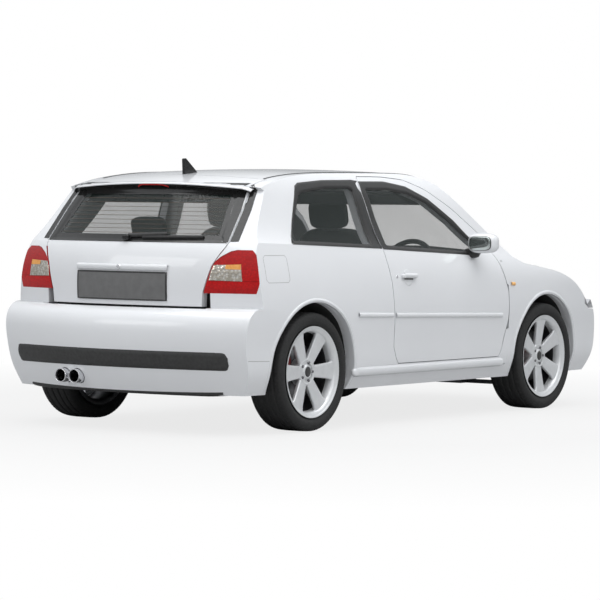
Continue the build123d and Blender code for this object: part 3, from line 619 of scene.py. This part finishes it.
clear = Look("clear_lens", Roughness=0.08, Metallic=0.75, Coat_Weight=1.0)
cells = clear.node("ShaderNodeTexVoronoi")
cells.inputs["Scale"].default_value = 60.0
clear.link(clear.coords, cells.inputs["Vector"])
clear.to("Base Color", clear.ramp(cells.outputs["Distance"], (0.0, (0.86, 0.84, 0.80)),
        (0.6, (0.55, 0.50, 0.42)))).bump(cells.outputs["Distance"], 0.5, 0.004)
amber = dull_look("amber_lens", (0.75, 0.30, 0.06), (0.85, 0.42, 0.12), 0.12, 90.0, 0.2)
rear_skin = surface_of("tail_lamps", "side_panel_left", "side_panel_right")
for side, hand in ((1, "left"), (-1, "right")):
    patch("lamp_window_" + hand, rear_skin, [(side * 0.535, 0.826), (side * 0.735, 0.822)],
            [(side * 0.552, 0.905), (side * 0.722, 0.912)], 0.0015, "x", -1, clear.mat, "body", 24, 8)
    patch("lamp_amber_" + hand, rear_skin, [(side * 0.640, 0.886), (side * 0.724, 0.884)],
            [(side * 0.640, 0.908), (side * 0.722, 0.912)], 0.0025, "x", -1, amber, "body", 12, 4)
    corner = [(side * 0.523, 0.880), (side * 0.560, 0.905), (side * 0.605, 0.950), (side * 0.655, 0.980),
            (side * 0.700, 0.990)]
    edge_top = [(side * 0.523, 0.880), (side * 0.560, 0.900), (side * 0.6185, 0.992), (side * 0.655, 0.992),
            (side * 0.700, 0.992)]
    patch("lamp_corner_" + hand, rear_skin, corner, edge_top, 0.003, "x", -1, paint, "body", 30, 6)

# Tailgate: a black surround bonded round the pane, a plate panel, a grip strip and the lock.
gate_skin = surface_of("tailgate", "tailgate_glass")
for label, low, high, body in (
    ("gate_left", [(0.552, 1.040), (0.500, 1.290)], [(0.619, 1.026), (0.600, 1.200), (0.568, 1.345)],
        "tailgate"),
    ("gate_right", [(-0.552, 1.040), (-0.500, 1.290)], [(-0.619, 1.026), (-0.600, 1.200), (-0.568, 1.345)],
        "tailgate"),
    ("gate_foot", [(-0.617, 1.022), (0.617, 1.022)], [(-0.560, 1.062), (0.560, 1.062)], "tailgate"),
    ("gate_head", [(-0.508, 1.280), (0.508, 1.280)], [(-0.566, 1.345), (0.566, 1.345)], "tailgate"),
    ("pillar_left", [(0.630, 1.030), (0.612, 1.200), (0.582, 1.345)],
        [(0.674, 1.032), (0.655, 1.200), (0.628, 1.325)], "body"),
    ("pillar_right", [(-0.630, 1.030), (-0.612, 1.200), (-0.582, 1.345)],
        [(-0.674, 1.032), (-0.655, 1.200), (-0.628, 1.325)], "body"),
):
    skin = surface_of("side_panel_left", "side_panel_right") if body == "body" else gate_skin
    patch("surround_" + label, skin, low, high, 0.002, "x", -1, black_gloss, body, 40, 8)
plate_look = dull_look("plate_panel", 0.125, 0.150, 0.5, 30.0, 0.1)
patch("plate_panel", gate_skin, [(-0.300, 0.715), (0.300, 0.715)], [(-0.300, 0.856), (0.300, 0.856)], 0.005,
        "x", -1, plate_look, "tailgate", 30, 8)
edge = [(-0.005, 0.0), (-0.003, 0.007), (0.003, 0.007), (0.005, 0.0)]
strip("plate_edge", gate_skin, [(-0.303, 0.712), (0.303, 0.712), (0.303, 0.859), (-0.303, 0.859)], edge,
        "x", -1, black_plastic, "tailgate", True)
grip = [(-0.016, 0.0), (-0.014, 0.010), (0.006, 0.014), (0.014, 0.010), (0.016, 0.0)]
strip("grip_strip", gate_skin, [(-0.310, 0.886), (0.310, 0.886)], grip, "x", -1, paint, "tailgate")


def disc_on(name, tree, u, v, radius, height, axis, side, mat, body, rounds=32):
    """A low round button on a surface, with a rounded rim."""
    verts = []
    for r, h in ((1.0, 0.0), (1.0, height * 0.7), (0.93, height), (0.6, height), (0.02, height)):
        for k in range(rounds):
            t = 2 * math.pi * k / rounds
            verts.append(tuple(dropped(tree, u + radius * r * math.cos(t), v + radius * r * math.sin(t),
                    axis, side, h)))
    return outward(mesh_piece(name, verts, grid_faces(5, rounds, True), mat, body), axis, side)


disc_on("gate_lock", gate_skin, 0.0, 0.886, 0.013, 0.017, "x", -1, chrome, "tailgate")

# Rear bumper: the dark insert's rounded ends, a seam that runs on to the arch, and a dark valance below.
bumper_skin = surface_of("rear_bumper", "bumper_insert", "side_panel_left", "side_panel_right")
for side, hand in ((1, "left"), (-1, "right")):
    strip("bumper_seam_" + hand, bumper_skin, [(-1.862, 0.404), (-1.685, 0.398)],
            [(-0.0014, 0.0), (-0.0011, 0.0005), (0.0011, 0.0005), (0.0014, 0.0)], "y", side, seam_look,
            "body")
verts, half, corner = [], 0.7245, 0.030
for y in np.linspace(-half, half, 121):
    top, foot = (dropped(bumper_skin, y, z, "x", -1, 0.0) for z in (0.456, 0.336))
    inset = corner - math.sqrt(max(0.0, corner**2 - max(0.0, abs(y) - half + corner) ** 2))
    for u, out in ((0.0, -0.004), (0.02, 0.0030), (0.25, 0.0050), (0.5, 0.0055), (0.75, 0.0050),
            (0.98, 0.0030), (1.0, -0.004)):
        z = 0.3475 + inset + (0.4465 - 0.3475 - 2 * inset) * u
        verts.append((np.interp(z, (0.336, 0.456), (foot.x, top.x)) - out, y, z))
outward(mesh_piece("bumper_band", verts, grid_faces(121, 7), black_plastic, "body"), "x", -1)
verts = []
for y in np.linspace(-0.66, 0.66, 45):
    back = -1.948 + 0.215 * y * y
    end = max(0.0, (abs(y) - 0.54) / 0.12)
    for inward, z in ((-0.004, 0.2335), (-0.006, 0.2170), (0.012, 0.2065), (0.070, 0.2060),
            (0.200, 0.2140)):
        verts.append((back + inward, y, z + 0.006 * end * end))
outward(mesh_piece("rear_valance", verts, grid_faces(45, 5), black_plastic, "body"), "x", -1)

# Heated lines in the rear pane: thin brown wires baked on to the glass.
wire_look = dull_look("heater_wire", (0.05, 0.03, 0.02), (0.08, 0.05, 0.03), 0.5)
pane_skin = surface_of("tailgate_glass")
for k in range(9):
    z = 1.072 + k * 0.0235
    half = 0.545 - (z - 1.045) * 0.20
    strip(f"heater_line_{k}", pane_skin, [(-half, z), (half, z)],
            [(-0.0011, 0.0), (-0.0008, 0.0006), (0.0008, 0.0006), (0.0011, 0.0)], "x", -1, wire_look,
            "tailgate", steps=0.08)

# Roof spoiler: a black underside below the roof's rear lip, with a thin red high brake light.
def lip_point(y, back, up):
    """A point on the spoiler: y across the car, then how far behind the roof's rear edge and above it."""
    return (-1.600 + 0.17 * y * y - back, y, 1.349 - 0.075 * y * y + up)


def blade(name, section, mat, half=0.618, cols=60):
    """Carries (back, up) pairs across the car along the roof's rear edge; the ends draw in and down."""
    verts = []
    for y in np.linspace(-half, half, cols):
        end = max(0.0, (abs(y) - half + 0.05) / 0.05)
        for back, up in section:
            verts.append(lip_point(y, back * (1 - 0.35 * end**2), up - 0.012 * end**2))
    made = mesh_piece(name, verts, grid_faces(cols, len(section)), mat, "tailgate")
    return outward(made, "x", -1)


blade("spoiler_top", [(-0.060, 0.0125), (-0.030, 0.0105), (0.000, 0.0065), (0.030, 0.0015), (0.048, -0.003),
        (0.054, -0.007), (0.052, -0.011)], paint)
blade("spoiler_under", [(0.052, -0.011), (0.040, -0.018), (0.015, -0.026), (-0.010, -0.034),
        (-0.022, -0.046), (-0.030, -0.060)], black_gloss, 0.612)
red_light = dull_look("brake_light", (0.55, 0.01, 0.01), (0.65, 0.02, 0.02), 0.1, 80.0, 0.2)
blade("brake_light", [(0.0525, -0.0105), (0.050, -0.0175), (0.046, -0.0180)], red_light, 0.106, 12)


# Rear wiper: a black arm and blade that turn on a cap below the pane.
blob("wiper_cap", (-1.868, 0.0, 1.047), (0.018, 0.022, 0.018), black_gloss, "tailgate")
strip("wiper_arm", gate_skin, [(0.0, 1.050), (-0.250, 1.062)],
        [(-0.009, 0.008), (-0.006, 0.018), (0.006, 0.018), (0.009, 0.008)], "x", -1, black_plastic,
        "tailgate")
strip("wiper_blade", gate_skin, [(-0.100, 1.044), (-0.470, 1.050)],
        [(-0.005, 0.002), (-0.004, 0.014), (0.004, 0.014), (0.005, 0.002)], "x", -1, black_plastic,
        "tailgate")

# Door handles: body-coloured pull bars over a shallow cup and a strip of painted shade, held from inside the
# door.
for side, hand in ((1, "left"), (-1, "right")):
    door_skin = surface_of("door_" + hand)
    # The dark grey below is painted shade: it colours the strip under each bar, where the bar's shadow falls.
    shade = dull_look("handle_cup_" + hand, 0.10, 0.13, 0.5)
    disc_on("handle_cup_" + hand, door_skin, -0.366, 0.826, 0.046, 0.0012, "y", side, paint, "door_" + hand)
    # A thin dark strip of painted shade under the bar.
    strip("handle_painted_shade_" + hand, door_skin, [(-0.410, 0.822), (-0.318, 0.820)],
            [(-0.008, 0.001), (-0.006, 0.003), (0.006, 0.003), (0.008, 0.001)], "y", side, shade,
            "door_" + hand)
    bar_look = [(-0.013, 0.010), (-0.012, 0.022), (0.0, 0.028), (0.012, 0.022), (0.013, 0.010),
            (0.0, 0.008), (-0.013, 0.010)]
    strip("handle_" + hand, door_skin, [(-0.424, 0.836), (-0.300, 0.833)], bar_look, "y", side, paint,
            "door_" + hand)
    for k, x in enumerate((-0.422, -0.302)):
        hit = dropped(door_skin, x, 0.8345, "y", side, 0.012)
        blob(f"handle_foot_{k}_{hand}", tuple(hit), (0.014, 0.014, 0.0135), paint, "door_" + hand, 2.6)
    disc_on("door_lock_" + hand, door_skin, -0.480, 0.832, 0.0095, 0.004, "y", side, chrome, "door_" + hand)
    # Side repeater: a small clear lamp in each front wing.
    wing_skin = surface_of("fender_" + hand)
    amber = dull_look("repeater_" + hand, (0.85, 0.42, 0.12), (0.95, 0.55, 0.2), 0.1)
    strip("repeater_" + hand, wing_skin, [(0.755, 0.775), (0.800, 0.773)],
            [(-0.010, 0.0), (-0.008, 0.006), (0.008, 0.006), (0.010, 0.0)], "y", side, amber, "body")

# Fuel flap: its shut line in the right rear wing.
flap = [(-1.690, 0.815), (-1.520, 0.815), (-1.505, 0.830), (-1.505, 0.945), (-1.520, 0.960),
        (-1.690, 0.960), (-1.705, 0.945), (-1.705, 0.830)]
strip("fuel_flap_seam", surface_of("side_panel_right"), flap,
        [(-0.0012, 0.0), (-0.0010, 0.0004), (0.0010, 0.0004), (0.0012, 0.0)], "y", -1, seam_look, "body",
        True)

# Exhaust tips: two bright rolled ends over the pipes, dark inside.
for k, y in enumerate((0.334, 0.238)):
    lip = [(-1.93, 0.0385), (-2.008, 0.0385), (-2.013, 0.0375), (-2.014, 0.0355), (-2.012, 0.034),
            (-2.0, 0.033), (-1.93, 0.032)]
    verts, rounds = [], 40
    for x, r in lip:
        for j in range(rounds):
            t = 2 * math.pi * j / rounds
            verts.append((x, y + r * math.cos(t), 0.289 + r * math.sin(t)))
    mesh_piece(f"exhaust_tip_{k}", verts, [f[::-1] for f in grid_faces(len(lip), rounds, True)], chrome,
            "body")

# Roof trims: black strips in the joints between the roof and the sides.
roof_skin = surface_of("roof_panel", "side_panel_left", "side_panel_right")
for side, hand in ((1, "left"), (-1, "right")):
    strip("roof_trim_" + hand, roof_skin, [(-1.370, side * 0.560), (0.270, side * 0.560)],
            [(-0.007, 0.0), (-0.005, 0.003), (0.005, 0.003), (0.007, 0.0)], "z", 1, black_gloss, "body",
            steps=0.03)

# Brake calipers: dark red castings that straddle each disc.
caliper_red = dull_look("caliper_red", (0.16, 0.012, 0.012), (0.22, 0.02, 0.02), 0.35)
for name, (x, side) in corners.items():
    ride_on = {"front_left": "knuckle_left", "front_right": "knuckle_right"}.get(name, "body")
    blob("caliper_" + name, (x - 0.125, side * 0.7235, 0.345), (0.034, 0.036, 0.075), caliper_red, ride_on,
            5.0, (0, 8, 0))

# Door mirrors: rounded painted shells on short black feet, each with a silvered pane in a dark bezel behind.
silvered = metal_look("silvered_glass", (0.62, 0.67, 0.65), (0.70, 0.75, 0.73), 0.05, 0.0)
for side, hand in ((1, "left"), (-1, "right")):
    shell = blob("mirror_shell_" + hand, (0.386, side * 0.889, 1.018), (0.0565, 0.0915, 0.0590), paint,
            "door_" + hand, 3.0, (0, 0, -8 * side), 32, 56)
    foot = blob("mirror_foot_" + hand, (0.388, side * 0.805, 0.958), (0.032, 0.050, 0.029), frame_black,
            "door_" + hand, 3.0)
    for made in (shell, foot):
        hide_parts("mirror_" + hand)
    blob("mirror_bezel_" + hand, (0.336, side * 0.8955, 1.018), (0.007, 0.0705, 0.0425), frame_black,
            "door_" + hand, 3.6, (0, 0, -8 * side))
    blob("mirror_glass_" + hand, (0.3305, side * 0.896, 1.018), (0.004, 0.0675, 0.0395), silvered,
            "door_" + hand, 3.8, (0, 0, -8 * side))


# Seats: foam pads under stitched cloth, on the seat frames. Side bolsters stand out, and seams divide
# the panels.
seat_cloth = Look("seat_cloth", Roughness=0.85, Sheen_Weight=0.3)
weave = seat_cloth.noise(420.0, 2.0)
seat_cloth.to("Base Color", seat_cloth.ramp(weave, (0.35, 0.030), (0.65, 0.065))).bump(weave, 0.35, 0.001)


def pad_points(half, bolster, seams, rows=44, cols=56):
    """A cushion: a rounded slab whose two sides swell into bolsters, with grooves where seams pull it in."""
    v = np.linspace(-math.pi / 2, math.pi / 2, rows)
    u = np.linspace(-math.pi, math.pi, cols, endpoint=False)
    sgn = lambda w, e: np.sign(w) * np.abs(w) ** e
    x = sgn(np.cos(v), 0.45)[:, None] * sgn(np.cos(u), 0.45)[None, :]
    y = sgn(np.cos(v), 0.45)[:, None] * sgn(np.sin(u), 0.45)[None, :]
    z = np.repeat(sgn(np.sin(v), 0.45)[:, None], cols, 1)
    swell = bolster * np.exp(-(((np.abs(y) - 0.82) / 0.16) ** 2)) * (x > 0)
    dent = sum(0.05 * np.exp(-(((y - s) / 0.02) ** 2)) for s in seams) * (x > 0.3)
    across = 0.035 * np.exp(-((z / 0.02) ** 2)) * (x > 0.3) * (np.abs(y) < 0.62)
    x = x * (0.84 + swell - dent - across)
    return np.stack([x * half[0], y * half[1], z * half[2]], -1).reshape(-1, 3), rows, cols


def pad(name, centre, half, lean, nodes_for, bolster=0.16, seams=(-0.62, 0.62)):
    """A pad whose face looks along +x before it leans: lean is degrees about y."""
    pts, rows, cols = pad_points(half, bolster, seams)
    turn = np.array(Matrix.Rotation(math.radians(lean), 3, "Y"))
    made = mesh_piece(name, pts @ turn.T + np.array(centre), grid_faces(rows, cols, True), seat_cloth.mat,
            "body")
    for node in nodes_for:
        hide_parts(node)
    return made


for side, hand in ((1, "left"), (-1, "right")):
    y = side * 0.365
    pad("seat_back_" + hand, (-0.333, y, 0.79), (0.0675, 0.245, 0.32), -18, ["seat_" + hand])
    pad("seat_cushion_" + hand, (-0.065, y, 0.42), (0.08, 0.25, 0.27), -94, ["seat_" + hand])
    pad("seat_head_" + hand, (-0.465, y, 1.18), (0.0425, 0.125, 0.0825), -12, ["seat_" + hand], 0.0, ())
    base = blob("seat_base_" + hand, (-0.075, y, 0.305), (0.225, 0.205, 0.047), black_plastic, "body", 8.0)
    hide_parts("seat_" + hand)
    for k, d in enumerate((-0.06, 0.06)):
        stalk = blob(f"head_stalk_{k}_{hand}", (-0.448, y + d, 1.085), (0.006, 0.006, 0.05), chrome, "body",
                2.2, (0, -18, 0), 10, 12)
        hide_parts("seat_" + hand)
pad("bench_back", (-1.13, 0.0, 0.77), (0.0625, 0.5, 0.29), -20, ["rear_bench"], 0.05, (-0.34, 0.0, 0.34))
pad("bench_cushion", (-0.875, 0.0, 0.415), (0.0825, 0.5, 0.235), -93, ["rear_bench"], 0.05,
        (-0.34, 0.0, 0.34))
base = blob("bench_base", (-0.895, 0.0, 0.345), (0.19, 0.445, 0.02), black_plastic, "body", 8.0)
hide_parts("rear_bench")

# Rear head restraints: two low pads on the bench's back.
for k, y in enumerate((-0.33, 0.33)):
    pts, rows, cols = pad_points((0.038, 0.115, 0.06), 0.0, ())
    turn = np.array(Matrix.Rotation(math.radians(-16), 3, "Y"))
    rest = mesh_piece(f"bench_head_{k}", pts @ turn.T + np.array((-1.245, y, 1.095)),
            grid_faces(rows, cols, True), seat_cloth.mat, "body")

# Interior mirror: a small dark housing hung from the top of the windscreen.
blob("inner_mirror", (0.300, 0.0, 1.285), (0.012, 0.115, 0.032), black_plastic, "body", 3.5)
blob("inner_mirror_stem", (0.330, 0.0, 1.325), (0.008, 0.010, 0.028), black_plastic, "body", 2.5,
        (0, 30, 0), 12, 16)

# Wheel bolts: five steel bolts in each hub, round the cap.
for name, (x, side) in corners.items():
    for k in range(5):
        a = 2 * math.pi * k / 5
        bolt = [(0.058, 0.0085), (0.066, 0.0085), (0.068, 0.007), (0.068, 0.0)]
        pts = turned_points(bolt, 6)
        pts[:, 1] += 0.051 * math.cos(a)
        pts[:, 2] += 0.051 * math.sin(a)
        faces = grid_faces(4, 6, True)
        piece = mesh_piece(f"wheel_bolt_{k}_{name}", wheel_placed(pts, (x, side)),
                faces if side < 0 else [f[::-1] for f in faces], cast, "wheel_" + name, False)
